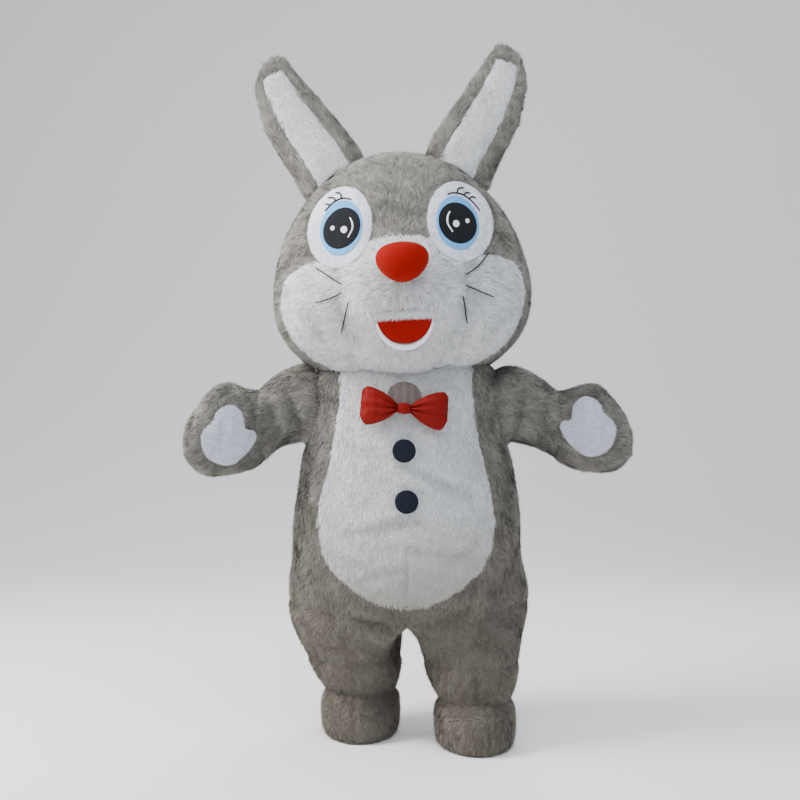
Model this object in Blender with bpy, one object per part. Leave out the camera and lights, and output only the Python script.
# Rabbit mascot costume as it is worn, cut and sewn from fur panels.
# Every panel is a wall whose points come from one shared form, so panels meet at their seams.
# Left and right are the viewer's; the front faces -Y and heights are above the floor.
import math

import bpy
import bmesh
import numpy as np

# Where the wearer's shoulders carry the costume: this point is the world's origin
CARRY_HEIGHT = 1.38

# Walls and seams
SEAM_HALF_GAP = 0.0002
CLEARANCE = 0.0003
FUR_WALL = 0.011
EAR_WALL = 0.007
FELT = 0.003

# How the names of the white fur panels start
WHITE_STARTS = ("belly", "mask")

# Cutters reach from near the middle plane to past the costume's front or back
CUTTER_NEAR = 0.02
CUTTER_FAR = 1.2

# Body: half width, front and back depth at each height
BODY_SECTIONS = [
    # height, half_width, front, back
    (0.42, 0.485, 0.300, 0.285),
    (0.50, 0.506, 0.342, 0.325),
    (0.57, 0.519, 0.372, 0.357),
    (0.66, 0.515, 0.396, 0.382),
    (0.75, 0.503, 0.410, 0.396),
    (0.92, 0.497, 0.412, 0.398),
    (1.09, 0.473, 0.400, 0.385),
    (1.25, 0.440, 0.375, 0.360),
    (1.40, 0.405, 0.345, 0.330),
    (1.52, 0.384, 0.325, 0.315),
    (1.61, 0.362, 0.300, 0.295),
    (1.70, 0.320, 0.265, 0.265),
]

# Rows of the body: where the belly panel's edge lies, and the height at the side seam
BODY_ROWS = [
    # edge_height, edge_angle, side_height
    (0.594, 0.0, 0.655),
    (0.601, 9.5, 0.700),
    (0.634, 20.5, 0.750),
    (0.698, 32.3, 0.805),
    (0.770, 42.2, 0.862),
    (0.854, 48.1, 0.920),
    (0.940, 50.0, 0.985),
    (1.033, 50.4, 1.058),
    (1.115, 48.6, 1.128),
    (1.185, 46.6, 1.190),
    (1.250, 45.8, 1.250),
    (1.302, 45.4, 1.302),
    (1.353, 45.3, 1.353),
    (1.405, 45.8, 1.405),
    (1.457, 47.0, 1.457),
    (1.508, 48.5, 1.508),
    (1.560, 49.3, 1.560),
    (1.612, 50.0, 1.612),
    (1.665, 50.0, 1.665),
]
HIP_FRONT = 0.515
HIP_BACK = 0.500
HIP_RISE = 0.078
BELLY_COLUMNS = 4
SIDE_ANGLES = [66.0, 78.0, 90.0, 102.0, 114.0, 127.2, 140.4, 153.6, 166.8, 180.0]
HIP_ANGLES = [0.0, 13.0, 28.0, 52.0, 72.0, 90.0]
SIDE_COLUMN = 9

# Armhole: the block of body cells that is left open
ARMHOLE_ROW = 11
ARMHOLE_ROWS = 6
ARMHOLE_COLUMN = 7
ARMHOLE_COLUMNS = 4
ARMHOLE_HEIGHT = 1.405
ARMHOLE_HALF_HEIGHT = 0.155
ARMHOLE_HALF_DEPTH = 0.150
ARM_MIDDLE = 0.008

# Arm: sleeve down to the wrist row, then the paw with its raised thumb side
ARM_SECTIONS = [
    # out, forward, height, half_height, half_depth
    (0.455, 0.010, 1.418, 0.155, 0.148),
    (0.520, 0.030, 1.402, 0.144, 0.139),
    (0.580, 0.060, 1.380, 0.134, 0.131),
    (0.635, 0.090, 1.350, 0.128, 0.122),
    (0.680, 0.118, 1.336, 0.152, 0.124),
    (0.735, 0.145, 1.328, 0.186, 0.120),
    (0.790, 0.168, 1.324, 0.198, 0.113),
    (0.838, 0.184, 1.305, 0.181, 0.105),
    (0.878, 0.194, 1.283, 0.149, 0.094),
    (0.912, 0.200, 1.272, 0.110, 0.076),
    (0.936, 0.204, 1.264, 0.063, 0.046),
    (0.948, 0.206, 1.262, 0.000, 0.000),
]
WRIST_RING = 4
ARM_SIDES = 20

# Legs: rings between the hip seam and the ankle
LEG_RINGS = [
    # outer_height, inner_height, half_width, half_depth, hip_share
    (0.505, 0.446, 0.246, 0.318, 0.50),
    (0.440, 0.412, 0.236, 0.290, 0.18),
    (0.385, 0.375, 0.222, 0.262, 0.04),
    (0.345, 0.340, 0.211, 0.235, 0.00),
    (0.285, 0.285, 0.204, 0.222, 0.00),
    (0.230, 0.230, 0.181, 0.194, 0.00),
    (0.188, 0.188, 0.157, 0.166, 0.00),
]
LEG_SEAM_RING = 4
LEG_ANGLES = [-48, -23, 2, 25, 47, 70, 92, 115, 138, 160, 183, 206, 228, 242, 256, 270, 284, 298, 312]
LEG_FRONT_SEAM = 2
LEG_BACK_SEAM = 10
CROTCH_HEIGHT = 0.458
CROTCH_CELLS = 6
HIP_CENTRE = 0.262
ANKLES = {"left": (-0.200, 0.030), "right": (0.289, -0.150)}

# Feet: rings from the ankle down to the flat sole
FOOT_RINGS = [
    # height, half_width, front, back
    (0.172, 0.167, 0.198, 0.176),
    (0.138, 0.175, 0.244, 0.186),
    (0.090, 0.177, 0.260, 0.190),
    (0.040, 0.173, 0.260, 0.188),
    (0.012, 0.164, 0.251, 0.180),
    (0.000, 0.153, 0.240, 0.170),
]
SOLE_SHARES = [0.55, 0.0]

# The largest folds of the body, arms and legs: soft troughs seen from the front (-1) or the back (1)
FOLDS = [
    # face, from_across, from_height, to_across, to_height, depth, half_width
    (-1, -0.02, 1.160, 0.30, 1.020, 0.016, 0.050),
    (-1, -0.30, 0.850, 0.06, 0.925, 0.015, 0.050),
    (-1, 0.12, 0.840, 0.36, 0.900, 0.012, 0.045),
    (-1, -0.40, 1.200, -0.24, 1.080, 0.011, 0.045),
    (-1, -0.52, 1.290, -0.47, 1.500, 0.010, 0.040),
    (-1, 0.50, 1.280, 0.46, 1.480, 0.010, 0.040),
    (1, -0.28, 1.120, 0.10, 1.000, 0.015, 0.055),
    (1, 0.32, 0.960, 0.02, 0.840, 0.014, 0.050),
    (1, -0.34, 0.780, -0.06, 0.720, 0.012, 0.050),
    (1, 0.36, 1.300, 0.10, 1.200, 0.010, 0.050),
]

# Head: an egg form about its own centre, leaning a little to the viewer's left
HEAD_CENTRE = (-0.015, 0.0, 1.875)
HEAD_LEAN = math.radians(3.1)
HEAD_HALF_WIDTH = 0.570
HEAD_FRONT = 0.500
HEAD_BACK = 0.500
HEAD_UP = 0.665
HEAD_DOWN = 0.395
NECK_RING_DROP = 0.345

# Outline of the white face mask, as directions from the head's centre
MASK_SIDE = [
    # azimuth, elevation
    (47.0, None),
    (53.0, -46.0),
    (61.0, -36.0),
    (67.0, -28.0),
    (69.5, -21.0),
    (69.0, -13.0),
    (68.5, -5.0),
    (68.0, 2.5),
    (65.5, 8.5),
]
MASK_TOP = [
    # azimuth, elevation, crown_angle
    (65.5, 8.5, 82.0),
    (57.0, 12.8, 66.0),
    (48.0, 14.2, 52.0),
    (38.0, 14.8, 37.0),
    (28.0, 15.2, 21.0),
    (20.0, 18.5, 14.5),
    (12.5, 22.0, 9.0),
    (6.0, 23.0, 4.5),
    (0.0, 23.2, 0.0),
]
CHEEK_SEAM_COLUMN = 4
CHIN_ROWS = 3
GREY_COLUMNS = 7
BACK_COLUMNS = 8

# Stuffed lobes of the mask
MASK_LOBES = [
    # azimuth, elevation, swell, half_azimuth, half_elevation
    (13.0, -1.0, 0.088, 16.0, 12.5),
    (0.0, 6.0, 0.040, 14.0, 14.0),
    (49.0, -9.0, 0.052, 15.0, 17.0),
    (0.0, -35.0, 0.085, 26.0, 9.0),
]
CHEEK_VALLEY = 0.014

# Ears: sections along the ear, from inside the head to the tip
EAR_BASE = (0.282, 0.592)
EAR_TIP = (0.514, 1.132)
EAR_SECTIONS = [
    # reach, outward, half_width, front, back
    (-0.090, 0.000, 0.160, 0.072, 0.080),
    (0.000, 0.000, 0.168, 0.072, 0.082),
    (0.065, 0.003, 0.171, 0.068, 0.082),
    (0.135, 0.015, 0.167, 0.062, 0.080),
    (0.205, 0.026, 0.164, 0.056, 0.076),
    (0.270, 0.038, 0.156, 0.050, 0.070),
    (0.335, 0.042, 0.144, 0.045, 0.063),
    (0.400, 0.045, 0.129, 0.040, 0.055),
    (0.455, 0.046, 0.117, 0.036, 0.047),
    (0.505, 0.041, 0.102, 0.031, 0.040),
    (0.545, 0.030, 0.078, 0.026, 0.031),
    (0.572, 0.019, 0.045, 0.016, 0.018),
    (0.588, 0.012, 0.000, 0.000, 0.000),
]
EAR_ANGLES = [0, 30, 60, 80, 100, 120, 150, 180, 206, 232, 257, 283, 308, 334, 360]
EAR_INNER_COLUMNS = (2, 5)
EAR_INNER_TOP = 9
EAR_FRONT_COLUMNS = 7

# Face details, measured across and up from the head's centre
FACE_PANELS = ("mask", "head_forehead", "head_temple")
EYE_X = 0.233
EYE_Z = 0.258
PATCH_HALF = (0.138, 0.172)
PATCH_RISE = 0.020
IRIS_HALF = (0.088, 0.114)
PUPIL_HALF = (0.075, 0.085)
EYE_TILT = math.radians(8.0)
NOSE_CENTRE = (0.002, -0.605, 0.080)
NOSE_HALF = (0.114, 0.078, 0.087)
MOUTH_TOP = -0.135
MOUTH_BOTTOM = -0.238
MOUTH_HALF_WIDTH = 0.112
LIP_HEIGHT = 0.030
LIP_THICK = 0.022

# What lies on the belly and the palms
WINDOW_CENTRE = (-0.010, 1.450)
WINDOW_HALF = (0.072, 0.058)
BUTTON_RADIUS = 0.048
BUTTON_THICK = 0.012
BUTTONS = {"upper": (-0.010, 1.224), "lower": (0.000, 1.020)}
PAD_OUTLINE = [
    # across, up: from the pad's middle, across is away from the body
    (-0.022, 0.128), (0.020, 0.118), (0.046, 0.088), (0.052, 0.064), (0.094, 0.018), (0.100, -0.020),
    (0.082, -0.080), (0.030, -0.116), (-0.024, -0.112), (-0.082, -0.060), (-0.112, -0.008), (-0.106, 0.022),
    (-0.070, 0.034), (-0.060, 0.090),
]
PAD_CENTRE = (0.770, 1.312)

# Bow tie: sections from the knot outwards
BOW_CENTRE = (-0.012, 1.408)
BOW_LEAN = math.radians(-3.5)
BOW_SECTIONS = [
    # out, half_height, half_depth
    (0.0255, 0.016, 0.016),
    (0.050, 0.040, 0.030),
    (0.085, 0.062, 0.036),
    (0.120, 0.076, 0.034),
    (0.146, 0.080, 0.025),
    (0.160, 0.070, 0.013),
    (0.166, 0.000, 0.000),
]
BOW_SIDES = 14
BOW_WALL = 0.004
BOW_STAND_OFF = 0.030
KNOT_HALF = (0.031, 0.026, 0.030)

# Back zip: a sewn strip, its slider and a pull tab that swings on the slider's loop
ZIP_TOP = 1.500
ZIP_BOTTOM = 0.760
ZIP_HALF_WIDTH = 0.014
ZIP_THICK = 0.003
SLIDER_SIZE = (0.0136, 0.0065, 0.020)
LUG_SIZE = (0.0018, 0.0060, 0.0060)
LUG_BITE = 0.0003
TAB_SIZE = (0.0090, 0.0022, 0.040)
TAB_BARREL_RADIUS = 0.0022
SLIDER_DROP = 0.014

MATERIALS = {
    # name: colour, roughness
    "grey_fur": ((0.27, 0.26, 0.25), 0.95),
    "white_fur": ((0.86, 0.88, 0.90), 0.95),
    "white_plush": ((0.84, 0.87, 0.92), 0.9),
    "blue_felt": ((0.20, 0.43, 0.66), 0.85),
    "dark_felt": ((0.02, 0.022, 0.03), 0.8),
    "red_plush": ((0.62, 0.03, 0.012), 0.8),
    "red_satin": ((0.50, 0.025, 0.012), 0.45),
    "button": ((0.015, 0.018, 0.03), 0.7),
    "window_mesh": ((0.15, 0.12, 0.12), 0.9),
    "sole": ((0.10, 0.10, 0.10), 0.8),
    "zip_tape": ((0.13, 0.13, 0.13), 0.8),
    "zip_metal": ((0.45, 0.45, 0.46), 0.35),
}


def clear_scene():
    for item in list(bpy.data.objects):
        bpy.data.objects.remove(item)


def make_collection(name):
    group = bpy.data.collections.new(name)
    bpy.context.scene.collection.children.link(group)
    return group


def make_material(name):
    colour, rough = MATERIALS[name]
    material = bpy.data.materials.get(name) or bpy.data.materials.new(name)
    material.use_nodes = True
    shader = material.node_tree.nodes["Principled BSDF"]
    shader.inputs["Base Color"].default_value = (*colour, 1.0)
    shader.inputs["Roughness"].default_value = rough
    shader.inputs["Metallic"].default_value = 1.0 if name == "zip_metal" else 0.0
    return material


clear_scene()
COSTUME = make_collection("rabbit_mascot_costume")
CUTTERS = make_collection("cutters")
FLOOR_FRAME = bpy.data.objects.new("floor_frame", None)
COSTUME.objects.link(FLOOR_FRAME)
FLOOR_FRAME.location = (0.0, 0.0, -CARRY_HEIGHT)


def add_object(name, verts, faces, material=None, parent=FLOOR_FRAME):
    mesh = bpy.data.meshes.new(name)
    mesh.from_pydata([tuple(map(float, v)) for v in verts], [], [tuple(f) for f in faces])
    mesh.update()
    mesh.shade_smooth()
    mesh.set_sharp_from_angle(angle=math.radians(40))
    thing = bpy.data.objects.new(name, mesh)
    thing.parent = parent
    if material:
        mesh.materials.append(make_material(material))
        COSTUME.objects.link(thing)
    else:
        CUTTERS.objects.link(thing)
        thing.hide_render = True
        thing.display_type = "WIRE"
    return thing


def combine(thing, other, operation):
    step = thing.modifiers.new(operation.lower(), "BOOLEAN")
    step.operation = operation
    step.solver = "EXACT"
    step.object = other


# Smooth values between the rows of a table
def smooth_column(table, column, at):
    rows = np.array([[row[0], row[column]] for row in table], float)
    keys, values = rows[:, 0], rows[:, 1]
    slopes = np.gradient(values, keys)
    at = np.clip(np.asarray(at, float), keys[0], keys[-1])
    low = np.clip(np.searchsorted(keys, at) - 1, 0, len(keys) - 2)
    span = keys[low + 1] - keys[low]
    t = (at - keys[low]) / span
    return (
        (2 * t**3 - 3 * t**2 + 1) * values[low]
        + (t**3 - 2 * t**2 + t) * span * slopes[low]
        + (3 * t**2 - 2 * t**3) * values[low + 1]
        + (t**3 - t**2) * span * slopes[low + 1]
    )


# A form is one merged surface whose cells carry the names of the panels they belong to
class Form:
    def __init__(self):
        self.points = []
        self.index = {}
        self.faces = []
        self.labels = []

    def vertex(self, point):
        key = tuple(int(round(c * 1e5)) for c in point)
        if key not in self.index:
            self.index[key] = len(self.points)
            self.points.append(np.array(point, float))
        return self.index[key]

    def add_grid(self, grid, label, inside):
        rows, columns = len(grid), len(grid[0])
        ids = [[self.vertex(grid[i][j]) for j in range(columns)] for i in range(rows)]
        cells = []
        turn = 0.0
        for i in range(rows - 1):
            for j in range(columns - 1):
                name = label(i, j)
                if name is None:
                    continue
                corners = [ids[i][j], ids[i][j + 1], ids[i + 1][j + 1], ids[i + 1][j]]
                face = [v for k, v in enumerate(corners) if v != corners[k - 1]]
                if len(face) < 3:
                    continue
                centre = sum(self.points[v] for v in face) / len(face)
                turn += float(np.dot(face_normal(self.points, face), centre - np.array(inside)))
                cells.append((face, name))
        for face, name in cells:
            for triangle in split_face(self.points, face if turn > 0 else face[::-1]):
                self.faces.append(triangle)
                self.labels.append(name)

    def normals(self):
        total = np.zeros((len(self.points), 3))
        for face in self.faces:
            total[face] += face_normal(self.points, face)
        return total / np.maximum(np.linalg.norm(total, axis=1, keepdims=True), 1e-12)


# A cell is split over its shorter diagonal, the same way in every wall that is made from the form
def split_face(points, face):
    if len(face) == 3:
        return [face]
    a, b, c, d = face
    if np.linalg.norm(points[a] - points[c]) <= np.linalg.norm(points[b] - points[d]):
        return [[a, b, c], [a, c, d]]
    return [[b, c, d], [b, d, a]]


def face_normal(points, face):
    total = np.zeros(3)
    for k in range(len(face)):
        total += np.cross(points[face[k - 1]], points[face[k]])
    return total * 0.5


def unit(vector):
    return vector / max(float(np.linalg.norm(vector)), 1e-12)


# A wall over some faces of a form, from one distance above the form to another, drawn in at its edges
def wall(name, form, faces, outer, inner, material=None, parent=FLOOR_FRAME):
    normals = form.normals()
    directed = {(face[k - 1], face[k]): True for face in faces for k in range(len(face))}
    rim = [edge for edge in directed if (edge[1], edge[0]) not in directed]
    inward = {}
    for a, b in rim:
        push = unit(np.cross(normals[a] + normals[b], form.points[b] - form.points[a]))
        inward.setdefault(a, []).append(push)
        inward.setdefault(b, []).append(push)
    used = sorted({v for face in faces for v in face})
    place = {v: k for k, v in enumerate(used)}
    shift = {}
    for v, pushes in inward.items():
        total = sum(pushes)
        shift[v] = SEAM_HALF_GAP * total / max(float(np.dot(total, pushes[0])), 0.35)
    top = [form.points[v] + shift.get(v, 0.0) + outer * normals[v] for v in used]
    bottom = [form.points[v] + shift.get(v, 0.0) + inner * normals[v] for v in used]
    count = len(used)
    result = [[place[v] for v in face] for face in faces]
    result += [[place[v] + count for v in reversed(face)] for face in faces]
    for a, b in rim:
        pa, pb = place[a], place[b]
        lead = np.array([0.7, 1.3, 2.1])
        if float(np.dot(form.points[a] - form.points[b], lead)) > 0:
            result += [[pb, pa, pb + count], [pa, pa + count, pb + count]]
        else:
            result += [[pb, pa, pa + count], [pb, pa + count, pb + count]]
    return add_object(name, top + bottom, result, material, parent)


def label_faces(form, name):
    return [face for face, label in zip(form.faces, form.labels) if label == name]


# The closed outside of a form, grown a little, to trim what meets it
def hull(name, form, faces, grow, parent=FLOOR_FRAME):
    normals = form.normals()
    directed = {(face[k - 1], face[k]) for face in faces for k in range(len(face))}
    follow = {b: a for a, b in directed if (b, a) not in directed}
    used = sorted({v for face in faces for v in face})
    place = {v: k for k, v in enumerate(used)}
    points = [form.points[v] + grow * normals[v] for v in used]
    result = [[place[v] for v in face] for face in faces]
    while follow:
        start, step = follow.popitem()
        loop = [start, step]
        while step in follow:
            step = follow.pop(step)
            loop.append(step)
        if loop[-1] == loop[0]:
            loop.pop()
        centre = sum(points[place[v]] for v in loop) / len(loop)
        points.append(centre)
        for k in range(len(loop)):
            result.append([place[loop[k - 1]], place[loop[k]], len(points) - 1])
    return add_object(name, points, result, None, parent)


# A straight cutter through the costume from front to back, with an outline across and up
def prism(name, outline, near, far, parent=FLOOR_FRAME):
    count = len(outline)
    points = [(x, near, z) for x, z in outline] + [(x, far, z) for x, z in outline]
    area = sum(outline[k - 1][0] * outline[k][1] - outline[k][0] * outline[k - 1][1] for k in range(count))
    faces = [list(range(count)), list(range(2 * count - 1, count - 1, -1))]
    faces += [[k, (k - 1) % count, (k - 1) % count + count, k + count] for k in range(count)]
    if (area > 0) != (far > near):
        faces = [face[::-1] for face in faces]
    return add_object(name, points, faces, None, parent)


def oval(centre, half, tilt=0.0, count=24):
    points = []
    for k in range(count):
        angle = 2 * math.pi * k / count
        x, z = half[0] * math.cos(angle), half[1] * math.sin(angle)
        across = x * math.cos(tilt) + z * math.sin(tilt)
        points.append((centre[0] + across, centre[1] - x * math.sin(tilt) + z * math.cos(tilt)))
    return points


# Body surface: angle from the front centre, height
def body_point(angle, height):
    half_width = smooth_column(BODY_SECTIONS, 1, height)
    front = smooth_column(BODY_SECTIONS, 2, height)
    back = smooth_column(BODY_SECTIONS, 3, height)
    turn = math.radians(abs(angle))
    across = half_width * math.sin(turn) if abs(angle) < 180 and angle != 0 else 0.0
    depth = front if turn < math.pi / 2 else back
    return np.array([math.copysign(across, angle), -depth * math.cos(turn), float(height)])


def body_columns(row):
    edge_height, edge_angle, side_height = row
    cells = []
    for column in range(BELLY_COLUMNS + 1):
        cells.append((edge_angle * column / BELLY_COLUMNS, edge_height))
    for share in (1 / 3, 2 / 3):
        angle = edge_angle + (SIDE_ANGLES[0] - edge_angle) * share
        cells.append((angle, angle_height(angle, row)))
    for angle in SIDE_ANGLES:
        cells.append((angle, angle_height(angle, row)))
    return cells


def angle_height(angle, row):
    edge_height, edge_angle, side_height = row
    share = min(1.0, (angle - edge_angle) / (90.0 - edge_angle))
    return edge_height + (side_height - edge_height) * math.sin(share * math.pi / 2)


def hip_row():
    cells = [(0.0, HIP_FRONT)] * BELLY_COLUMNS
    for angle in HIP_ANGLES + SIDE_ANGLES[3:]:
        low = HIP_FRONT if angle < 90 else HIP_BACK
        cells.append((angle, low + (HIP_FRONT + HIP_RISE - low) * math.sin(math.radians(angle)) ** 2))
    return cells


def body_half(sign):
    rows = [hip_row()] + [body_columns(row) for row in BODY_ROWS]
    grid = [[body_point(sign * angle, height) for angle, height in row] for row in rows]
    ring = []
    for k in range(ARM_SIDES):
        angle = 2 * math.pi * k / ARM_SIDES
        y = ARMHOLE_HALF_DEPTH * math.cos(angle)
        height = ARMHOLE_HEIGHT + ARMHOLE_HALF_HEIGHT * math.sin(angle)
        depth = smooth_column(BODY_SECTIONS, 2 if y < 0 else 3, height)
        x = smooth_column(BODY_SECTIONS, 1, height) * math.sqrt(1 - (y / depth) ** 2)
        ring.append(np.array([sign * x, y, height]))
    low, high = ARMHOLE_ROW, ARMHOLE_ROW + ARMHOLE_ROWS
    front, back = ARMHOLE_COLUMN, ARMHOLE_COLUMN + ARMHOLE_COLUMNS
    middle = low + ARMHOLE_ROWS // 2
    border = [(i, back) for i in range(middle, high)] + [(high, j) for j in range(back, front, -1)]
    border += [(i, front) for i in range(high, low, -1)] + [(low, j) for j in range(front, back)]
    border += [(i, back) for i in range(low, middle)]
    for (i, j), point in zip(border, ring):
        grid[i][j] = point
    return grid, ring


def body_label(side):
    def label(i, j):
        if ARMHOLE_ROW <= i < ARMHOLE_ROW + ARMHOLE_ROWS and 0 <= j - ARMHOLE_COLUMN < ARMHOLE_COLUMNS:
            return None
        if j < BELLY_COLUMNS:
            return "belly_panel" if i > 0 else None
        return f"body_front_{side}" if j < SIDE_COLUMN else f"body_back_{side}"
    return label


def arm_grid(sign, ring):
    grid = [ring + [ring[0]]]
    for out, forward, height, half_height, half_depth in ARM_SECTIONS:
        row = []
        for k in range(ARM_SIDES + 1):
            angle = 2 * math.pi * (k % ARM_SIDES) / ARM_SIDES
            x = ARM_MIDDLE + sign * out
            row.append((x, -forward + half_depth * math.cos(angle), height + half_height * math.sin(angle)))
        grid.append(row)
    return grid


def arm_label(side):
    def label(i, j):
        if i < WRIST_RING:
            return f"sleeve_{side}"
        return f"paw_{side}_palm" if ARM_SIDES / 4 <= j < ARM_SIDES * 3 / 4 else f"paw_{side}_back"
    return label


def crotch_points(front, back):
    points = []
    for k in range(1, CROTCH_CELLS):
        t = k / CROTCH_CELLS
        y = back[1] + (front[1] - back[1]) * t
        edge = back[2] + (front[2] - back[2]) * t
        points.append((0.0, y, edge + (CROTCH_HEIGHT - edge) * math.sin(math.pi * t)))
    return points


def leg_grid(side, sign, body_grid):
    top = [np.array(p) for p in body_grid[0][BELLY_COLUMNS:]]
    ring = top + [np.array(p) for p in crotch_points(top[0], top[-1])]
    grid = [ring + [ring[0]]]
    ankle_x, ankle_y = ANKLES[side]
    first, last = LEG_RINGS[0][0], LEG_RINGS[-1][0]
    for outer_height, inner_height, half_width, half_depth, hip_share in LEG_RINGS:
        share = min(1.0, (first - outer_height) / (first - last))
        centre_x = sign * HIP_CENTRE + (ankle_x - sign * HIP_CENTRE) * share
        centre_y = ankle_y * share**0.8
        row = []
        for k, angle in enumerate(LEG_ANGLES):
            turn = math.radians(angle)
            x = centre_x + sign * half_width * math.sin(turn)
            y = centre_y - half_depth * math.cos(turn)
            z = inner_height + (outer_height - inner_height) * (0.5 + 0.5 * math.sin(turn))
            at_hip = grid[0][k]
            row.append((x + (at_hip[0] - x) * hip_share, y + (at_hip[1] - y) * hip_share, z))
        row[-1] = row[0]
        grid.append(row)
    return grid


def leg_label(side):
    def label(i, j):
        level = "upper" if i < LEG_SEAM_RING else "lower"
        face = "outer" if LEG_FRONT_SEAM <= j < LEG_BACK_SEAM else "inner"
        return f"leg_{side}_{level}_{face}"
    return label


def foot_grid(side, sign, ankle_ring):
    ankle_x, ankle_y = ANKLES[side]
    grid = [ankle_ring]
    rings = list(FOOT_RINGS)
    for share in SOLE_SHARES:
        rings.append((0.0, *(size * share for size in FOOT_RINGS[-1][1:])))
    for height, half_width, front, back in rings:
        row = []
        for angle in LEG_ANGLES:
            turn = math.radians(angle)
            depth = front if math.cos(turn) > 0 else back
            row.append((ankle_x + sign * half_width * math.sin(turn), ankle_y - depth * math.cos(turn), height))
        row[-1] = row[0]
        grid.append(row)
    return grid


def foot_label(side):
    def label(i, j):
        return f"foot_{side}_upper" if i < len(FOOT_RINGS) else f"foot_{side}_sole"
    return label


SIDES = {"left": -1.0, "right": 1.0}


def press_folds(form):
    normals = form.normals()
    for v, point in enumerate(form.points):
        for face, x1, z1, x2, z2, depth, half_width in FOLDS:
            if point[1] * face < 0:
                continue
            along = np.array([x2 - x1, z2 - z1])
            offset = np.array([point[0] - x1, point[2] - z1])
            share = max(0.0, min(1.0, float(np.dot(offset, along) / np.dot(along, along))))
            gap = float(np.linalg.norm(offset - share * along))
            facing = max(0.0, float(normals[v][1]) * face)
            form.points[v] = form.points[v] - normals[v] * depth * facing * math.exp(-((gap / half_width) ** 2))


def build_body_form():
    form = Form()
    for side, sign in SIDES.items():
        grid, ring = body_half(sign)
        form.add_grid(grid, body_label(side), (0.0, 0.0, 1.0))
        form.add_grid(arm_grid(sign, ring), arm_label(side), (sign * 0.65, -0.09, 1.36))
        legs = leg_grid(side, sign, grid)
        form.add_grid(legs, leg_label(side), (sign * HIP_CENTRE, 0.0, 0.35))
        ankle_x, ankle_y = ANKLES[side]
        form.add_grid(foot_grid(side, sign, legs[-1]), foot_label(side), (ankle_x, ankle_y - 0.03, 0.08))
    press_folds(form)
    return form


# Head surface: a direction from the head's centre gives a point on the egg form
def direction(azimuth, elevation):
    a, e = math.radians(azimuth), math.radians(elevation)
    return np.array([math.sin(a) * math.cos(e), -math.cos(a) * math.cos(e), math.sin(e)])


def head_point(way, swell=0.0):
    way = unit(np.array(way, float))
    depth = HEAD_FRONT if way[1] < 0 else HEAD_BACK
    up = HEAD_UP if way[2] > 0 else HEAD_DOWN
    reach = 1 / math.sqrt((way[0] / HEAD_HALF_WIDTH) ** 2 + (way[1] / depth) ** 2 + (way[2] / up) ** 2)
    return way * (reach + swell)


def neck_direction(azimuth):
    level = math.sqrt(1 - (NECK_RING_DROP / HEAD_DOWN) ** 2)
    a = math.radians(azimuth)
    return unit(np.array([
        HEAD_HALF_WIDTH * level * math.sin(a), -HEAD_FRONT * level * math.cos(a), -NECK_RING_DROP]))


def between(a, b, t):
    angle = math.acos(max(-1.0, min(1.0, float(np.dot(a, b)))))
    if angle < 1e-6:
        return a
    return (math.sin((1 - t) * angle) * a + math.sin(t * angle) * b) / math.sin(angle)


def mask_side_direction(k):
    azimuth, elevation = MASK_SIDE[k]
    return neck_direction(azimuth) if elevation is None else direction(azimuth, elevation)


def mask_swell(way, edge_share):
    azimuth = math.degrees(math.atan2(way[0], -way[1]))
    elevation = math.degrees(math.asin(way[2]))
    total = 0.0
    for lobe_azimuth, lobe_elevation, swell, half_azimuth, half_elevation in MASK_LOBES:
        for sign in ((1, -1) if lobe_azimuth else (1,)):
            a = (azimuth - sign * lobe_azimuth) / half_azimuth
            e = (elevation - lobe_elevation) / half_elevation
            total += swell * math.exp(-(a * a + e * e))
    total -= CHEEK_VALLEY * math.exp(-(((abs(azimuth) - 31.0) / 5.0) ** 2))
    return total * edge_share


# Rows run up the mask, columns run across it from the viewer's left to the right
def mask_grid():
    left = [mask_side_direction(k) * np.array([-1, 1, 1]) for k in range(len(MASK_SIDE))]
    right = [mask_side_direction(k) for k in range(len(MASK_SIDE))]
    tops = [direction(-a, e) for a, e, c in MASK_TOP] + [direction(a, e) for a, e, c in MASK_TOP[-2::-1]]
    columns = len(tops)
    rows = len(left)
    shares = [0.5 + 0.5 * a / MASK_TOP[0][0] for a in
              [-a for a, e, c in MASK_TOP] + [a for a, e, c in MASK_TOP[-2::-1]]]
    bottoms = [neck_direction(MASK_SIDE[0][0] * (2 * s - 1)) for s in shares]
    grid = []
    for i in range(rows):
        v = i / (rows - 1)
        row = []
        for j in range(columns):
            s = shares[j]
            across = between(left[i], right[i], s)
            up = between(bottoms[j], tops[j], v)
            corner = between(between(left[0], right[0], s), between(left[-1], right[-1], s), v)
            way = unit(across + up - corner)
            if j in (0, columns - 1):
                way = left[i] if j == 0 else right[i]
            elif i in (0, rows - 1):
                way = bottoms[j] if i == 0 else tops[j]
            edge = min(1.0, min(j, columns - 1 - j) / 1.5, (rows - 1 - i) / 1.2)
            row.append(head_point(way, mask_swell(way, edge)))
        grid.append(row)
    return grid


def mask_label(i, j):
    columns = 2 * (len(MASK_TOP) - 1)
    if j < CHEEK_SEAM_COLUMN:
        return "mask_cheek_left"
    if j >= columns - CHEEK_SEAM_COLUMN:
        return "mask_cheek_right"
    return "mask_chin" if i < CHIN_ROWS else "mask_muzzle"


def crown_direction(angle):
    turn = math.radians(angle)
    return np.array([math.sin(turn), 0.0, math.cos(turn)])


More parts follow.
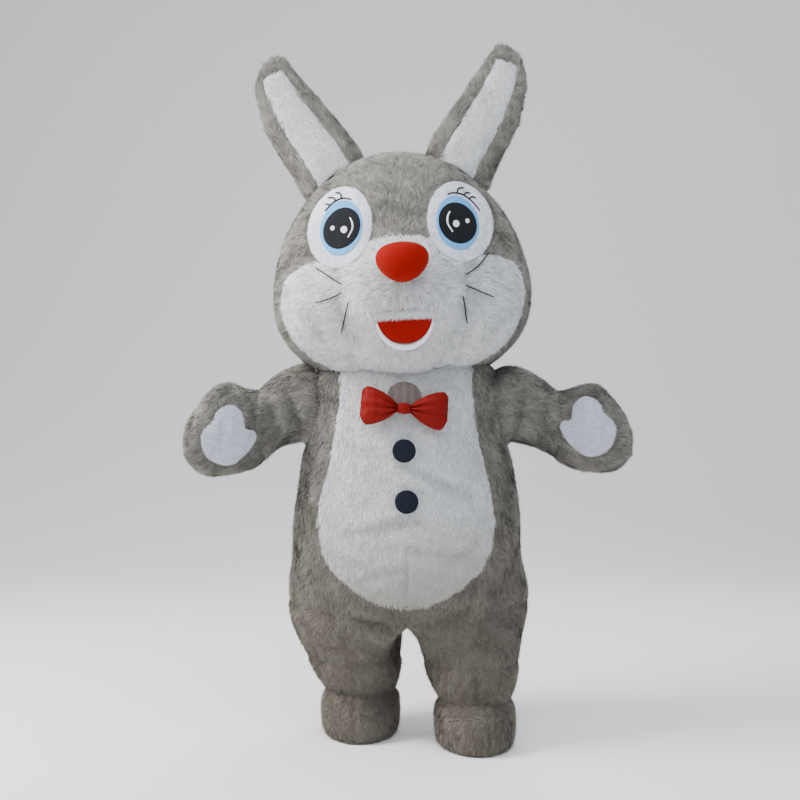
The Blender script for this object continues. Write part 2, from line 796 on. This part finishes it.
# Rows follow the mask's outline from the neck up to the middle, columns run back to the crown seam
def head_side_rows(sign):
    flip = np.array([sign, 1, 1])
    rows = []
    last = len(MASK_SIDE) - 1
    neck_side = neck_direction(90.0) * flip
    neck_angle = math.degrees(math.atan2(abs(neck_side[0]), neck_side[2]))
    for k in range(last):
        start = mask_side_direction(k) * flip
        angle = neck_angle + (MASK_TOP[0][2] - neck_angle) * k / last
        rows.append((start, neck_side if k == 0 else crown_direction(sign * angle)))
    for azimuth, elevation, crown in MASK_TOP:
        rows.append((direction(sign * azimuth, elevation), crown_direction(sign * crown)))
    return rows


def head_front_grid(sign):
    return [[head_point(between(a, b, c / GREY_COLUMNS)) for c in range(GREY_COLUMNS + 1)]
            for a, b in head_side_rows(sign)]


def head_front_label(side):
    rows = len(MASK_SIDE) - 1 + len(MASK_TOP) - 1
    forehead = len(MASK_TOP) - 1 - CHEEK_SEAM_COLUMN

    def label(i, j):
        return "head_forehead" if i >= rows - forehead else f"head_temple_{side}"
    return label


def head_back_grid(sign):
    rows = []
    neck = math.degrees(math.asin(neck_direction(180.0)[2]))
    sides = head_side_rows(sign)
    side_start = math.degrees(math.atan2(abs(sides[0][1][0]), sides[0][1][2]))
    for k, (start, side_way) in enumerate(sides):
        angle = math.degrees(math.atan2(abs(side_way[0]), side_way[2]))
        back_elevation = 90.0 - (90.0 - neck) * angle / side_start
        row = []
        for c in range(BACK_COLUMNS + 1):
            t = c / BACK_COLUMNS
            azimuth = sign * (90.0 + 90.0 * t)
            elevation = 90.0 - angle + (back_elevation - 90.0 + angle) * t
            way = neck_direction(azimuth) if k == 0 else direction(azimuth, elevation)
            if c == 0:
                way = side_way
            if c == BACK_COLUMNS:
                way[0] = 0.0
            row.append(head_point(way))
        rows.append(row)
    return rows


def build_head_form():
    form = Form()
    form.add_grid(mask_grid(), mask_label, (0, 0, 0))
    for side, sign in SIDES.items():
        form.add_grid(head_front_grid(sign), head_front_label(side), (0, 0, 0))
        form.add_grid(head_back_grid(sign), lambda i, j, side=side: f"head_back_{side}", (0, 0, 0))
    return form


def ear_form(side, sign):
    axis = np.array([EAR_TIP[0] - EAR_BASE[0], 0.0, EAR_TIP[1] - EAR_BASE[1]])
    axis = unit(axis)
    outward = np.array([axis[2], 0.0, -axis[0]])
    grid = []
    for reach, offset, half_width, front, back in EAR_SECTIONS:
        centre = np.array([EAR_BASE[0], 0.0, EAR_BASE[1]]) + axis * reach + outward * offset
        row = []
        for angle in EAR_ANGLES:
            turn = math.radians(angle % 360)
            depth = front if angle < 180 else back
            point = centre + outward * half_width * math.cos(turn)
            point[1] = -depth * math.sin(turn)
            point[0] *= sign
            row.append(point)
        grid.append(row)

    def label(i, j):
        if j >= EAR_FRONT_COLUMNS:
            return f"ear_{side}_back"
        inner = EAR_INNER_COLUMNS[0] <= j < EAR_INNER_COLUMNS[1] and i < EAR_INNER_TOP
        return f"ear_{side}_inner" if inner else f"ear_{side}_rim"
    form = Form()
    form.add_grid(grid, label, (sign * 0.38, 0.0, 0.80))
    return form


# One wall for all the panels of a form, so that they meet at their seams
def panels(form, parent, thickness):
    made = {}
    for name in dict.fromkeys(form.labels):
        material = "grey_fur"
        if name.startswith(WHITE_STARTS) or name.endswith("inner") and name.startswith("ear"):
            material = "white_fur"
        if name.endswith("sole"):
            material = "sole"
        made[name] = wall(name, form, label_faces(form, name), 0.0, -thickness, material, parent)
    return made


# A piece that lies on panels: their points moved out, inside an outline seen from the front or the back
def laid_on(name, form, labels, outline, thickness, material, parent, side=-1, lift=CLEARANCE):
    faces = [face for face, label in zip(form.faces, form.labels) if label.startswith(labels)]
    piece = wall(name, form, faces, lift + thickness, lift, material, parent)
    cutter = prism(f"cut_{name}", outline, side * CUTTER_NEAR, side * CUTTER_FAR, parent)
    combine(piece, cutter, "INTERSECT")
    return piece


def build_head(head, parent, trim):
    panels(head, parent, FUR_WALL)
    for side, sign in SIDES.items():
        middle = (sign * EYE_X, EYE_Z)
        patch = oval((middle[0], middle[1] + PATCH_RISE), PATCH_HALF, sign * EYE_TILT)
        laid_on(f"eye_patch_{side}", head, FACE_PANELS, patch, FELT, "white_plush", parent)
        iris = oval(middle, IRIS_HALF, sign * EYE_TILT)
        laid_on(f"eye_iris_{side}", head, FACE_PANELS, iris, FELT, "blue_felt", parent, lift=2 * CLEARANCE + FELT)
        pupil = oval(middle, PUPIL_HALF, sign * EYE_TILT)
        pupil_lift = 3 * CLEARANCE + 2 * FELT
        laid_on(f"eye_pupil_{side}", head, FACE_PANELS, pupil, FELT, "dark_felt", parent, lift=pupil_lift)
    build_mouth(head, parent)
    build_nose(parent, trim)


def build_mouth(head, parent):
    drop = MOUTH_TOP - MOUTH_BOTTOM
    arc = [math.pi * (1 + k / 12) for k in range(13)]
    curve = [(MOUTH_HALF_WIDTH * math.cos(a), MOUTH_TOP + drop * math.sin(a)) for a in arc]
    laid_on("mouth", head, "mask", curve, FELT, "red_plush", parent)
    arc = [math.pi * (1 + k / 12) for k in range(1, 12)]
    upper = [(MOUTH_HALF_WIDTH * math.cos(a), MOUTH_TOP - CLEARANCE + (drop + CLEARANCE) * math.sin(a)) for a in arc]
    lower = [(MOUTH_HALF_WIDTH * 1.02 * math.cos(a), MOUTH_TOP + (drop + LIP_HEIGHT) * math.sin(a)) for a in arc]
    laid_on("lower_lip", head, "mask", upper + lower[::-1], LIP_THICK, "white_plush", parent)


def build_nose(parent, trim):
    mesh = bmesh.new()
    bmesh.ops.create_uvsphere(mesh, u_segments=20, v_segments=12, radius=1.0)
    for vertex in mesh.verts:
        x, y, z = vertex.co
        narrow = 0.80 + 0.20 * (z + 1) / 2
        vertex.co.x = NOSE_CENTRE[0] + NOSE_HALF[0] * x * narrow
        vertex.co.y = NOSE_CENTRE[1] + NOSE_HALF[1] * y
        vertex.co.z = NOSE_CENTRE[2] + NOSE_HALF[2] * z
    points = [tuple(v.co) for v in mesh.verts]
    faces = [[v.index for v in face.verts] for face in mesh.faces]
    mesh.free()
    nose = add_object("nose", points, faces, "red_plush", parent)
    combine(nose, trim, "DIFFERENCE")


def build_ears(parent, trim):
    for side, sign in SIDES.items():
        for piece in panels(ear_form(side, sign), parent, EAR_WALL).values():
            combine(piece, trim, "DIFFERENCE")


def build_window(belly, body):
    outline = oval(WINDOW_CENTRE, WINDOW_HALF)
    grown = oval(WINDOW_CENTRE, [half + CLEARANCE for half in WINDOW_HALF])
    combine(belly, prism("cut_window_hole", grown, -0.05, -0.6), "DIFFERENCE")
    laid_on("vision_window", body, "belly", outline, FELT, "window_mesh", FLOOR_FRAME, lift=-FELT)


def build_buttons(trim):
    for place, (x, height) in BUTTONS.items():
        face = float(body_point(0.0, height)[1])
        tilt = float(body_point(0.0, height + 0.05)[1] - body_point(0.0, height - 0.05)[1]) / 0.1
        mesh = bmesh.new()
        bmesh.ops.create_cone(
            mesh, cap_ends=True, segments=28, radius1=BUTTON_RADIUS, radius2=BUTTON_RADIUS,
            depth=BUTTON_THICK * 3)
        data = bpy.data.meshes.new(f"button_{place}")
        mesh.to_mesh(data)
        mesh.free()
        data.shade_smooth()
        data.set_sharp_from_angle(angle=math.radians(40))
        data.materials.append(make_material("button"))
        button = bpy.data.objects.new(f"button_{place}", data)
        COSTUME.objects.link(button)
        button.parent = FLOOR_FRAME
        button.location = (x, face + BUTTON_THICK / 2, height)
        button.rotation_euler = (math.pi / 2 - math.atan(tilt), 0.0, 0.0)
        combine(button, trim, "DIFFERENCE")


# A point of the bow, across and up from its middle, in the costume
def bow_turn(x, z):
    across = BOW_CENTRE[0] + x * math.cos(BOW_LEAN) - z * math.sin(BOW_LEAN)
    return across, BOW_CENTRE[1] + x * math.sin(BOW_LEAN) + z * math.cos(BOW_LEAN)


def bow_form(side, sign, face):
    grid = []
    for out, half_height, half_depth in BOW_SECTIONS:
        row = []
        for k in range(BOW_SIDES + 1):
            angle = 2 * math.pi * (k % BOW_SIDES) / BOW_SIDES
            across, up = bow_turn(sign * out, half_height * math.sin(angle))
            row.append((across, face - half_depth * math.cos(angle), up))
        grid.append(row)
    form = Form()
    inside = (BOW_CENTRE[0] + sign * 0.1, face, BOW_CENTRE[1])
    form.add_grid(grid, lambda i, j: f"bow_loop_{side}", inside)
    return form


def build_bow(trim):
    face = float(body_point(0.0, BOW_CENTRE[1])[1]) - BOW_STAND_OFF
    for side, sign in SIDES.items():
        form = bow_form(side, sign, face)
        loop = wall(f"bow_loop_{side}", form, form.faces, 0.0, -BOW_WALL, "red_satin")
        combine(loop, trim, "DIFFERENCE")
    mesh = bmesh.new()
    bmesh.ops.create_uvsphere(mesh, u_segments=16, v_segments=10, radius=1.0)
    limit = BOW_SECTIONS[0][0] - CLEARANCE
    for vertex in mesh.verts:
        x = max(-limit, min(limit, vertex.co.x * KNOT_HALF[0]))
        across, up = bow_turn(x, vertex.co.z * KNOT_HALF[1])
        vertex.co = (across, face + vertex.co.y * KNOT_HALF[2], up)
    points = [tuple(v.co) for v in mesh.verts]
    faces = [[v.index for v in f.verts] for f in mesh.faces]
    mesh.free()
    knot = add_object("bow_knot", points, faces, "red_satin")
    combine(knot, trim, "DIFFERENCE")


def build_pads(body):
    for side, sign in SIDES.items():
        outline = [(ARM_MIDDLE + sign * (PAD_CENTRE[0] + x), PAD_CENTRE[1] + z) for x, z in PAD_OUTLINE]
        palm = f"paw_{side}_palm"
        laid_on(f"palm_pad_{side}", body, palm, outline, FELT, "white_plush", FLOOR_FRAME)


def block(name, size, centre, material, parent):
    mesh = bmesh.new()
    bmesh.ops.create_cube(mesh, size=1.0)
    points = [[centre[k] + size[k] * v.co[k] for k in range(3)] for v in mesh.verts]
    faces = [[v.index for v in face.verts] for face in mesh.faces]
    mesh.free()
    return add_object(name, points, faces, material, parent)


# The slider's frame stands on the tape, leaning with the back, with +Y away from the cloth
def build_slider():
    height = ZIP_TOP - SLIDER_DROP
    above, below = (float(body_point(180.0, height + step)[1]) for step in (0.02, -0.02))
    surface = float(body_point(180.0, height)[1])
    frame = bpy.data.objects.new("slider_frame", None)
    COSTUME.objects.link(frame)
    frame.parent = FLOOR_FRAME
    frame.location = (0.0, surface, height)
    frame.rotation_euler = (math.atan((below - above) / 0.04), 0.0, 0.0)
    base_y = ZIP_THICK + 3 * CLEARANCE + SLIDER_SIZE[1] / 2
    slider = block("zip_slider", SLIDER_SIZE, (0.0, base_y, 0.0), "zip_metal", frame)
    face_y = base_y + SLIDER_SIZE[1] / 2
    lug_x = TAB_SIZE[0] / 2 + CLEARANCE + LUG_SIZE[0] / 2
    lug_y = face_y + LUG_SIZE[1] / 2 - LUG_BITE
    lug_z = SLIDER_SIZE[2] / 2 - LUG_SIZE[2] / 2 - LUG_BITE
    for sign in (-1, 1):
        lug = block(f"cut_lug_{sign + 1}", LUG_SIZE, (sign * lug_x, lug_y, lug_z), None, frame)
        combine(slider, lug, "UNION")
    build_tab(frame, face_y + CLEARANCE + TAB_BARREL_RADIUS, lug_z)


def build_tab(frame, axis_y, axis_z):
    hinge = bpy.data.objects.new("tab_hinge", None)
    COSTUME.objects.link(hinge)
    hinge.parent = frame
    hinge.location = (0.0, axis_y, axis_z)
    tab = block("zip_pull_tab", TAB_SIZE, (0.0, 0.0, -TAB_SIZE[2] / 2), "zip_metal", hinge)
    mesh = bmesh.new()
    bmesh.ops.create_cone(
        mesh, cap_ends=True, segments=16, radius1=TAB_BARREL_RADIUS, radius2=TAB_BARREL_RADIUS, depth=TAB_SIZE[0])
    points = [(v.co.z, v.co.x, v.co.y) for v in mesh.verts]
    faces = [[v.index for v in face.verts] for face in mesh.faces]
    mesh.free()
    combine(tab, add_object("cut_tab_barrel", points, faces, None, hinge), "UNION")


def build_zip(body):
    strip = [(-ZIP_HALF_WIDTH, ZIP_BOTTOM), (ZIP_HALF_WIDTH, ZIP_BOTTOM),
             (ZIP_HALF_WIDTH, ZIP_TOP), (-ZIP_HALF_WIDTH, ZIP_TOP)]
    laid_on("zip_tape", body, "body_back", strip, ZIP_THICK, "zip_tape", FLOOR_FRAME, side=1)
    build_slider()


def main():
    body = build_body_form()
    made = panels(body, FLOOR_FRAME, FUR_WALL)
    body_hull = hull("body_hull", body, body.faces, CLEARANCE)
    head_frame = bpy.data.objects.new("head_frame", None)
    COSTUME.objects.link(head_frame)
    head_frame.parent = FLOOR_FRAME
    head_frame.location = HEAD_CENTRE
    head_frame.rotation_euler = (0.0, -HEAD_LEAN, 0.0)
    head = build_head_form()
    head_hull = hull("head_hull", head, head.faces, CLEARANCE, head_frame)
    build_head(head, head_frame, head_hull)
    build_ears(head_frame, head_hull)
    for name, panel in made.items():
        if name.startswith(("belly", "body", "sleeve")):
            combine(panel, head_hull, "DIFFERENCE")
    build_window(made["belly_panel"], body)
    build_buttons(body_hull)
    build_bow(body_hull)
    build_pads(body)
    build_zip(body)


main()
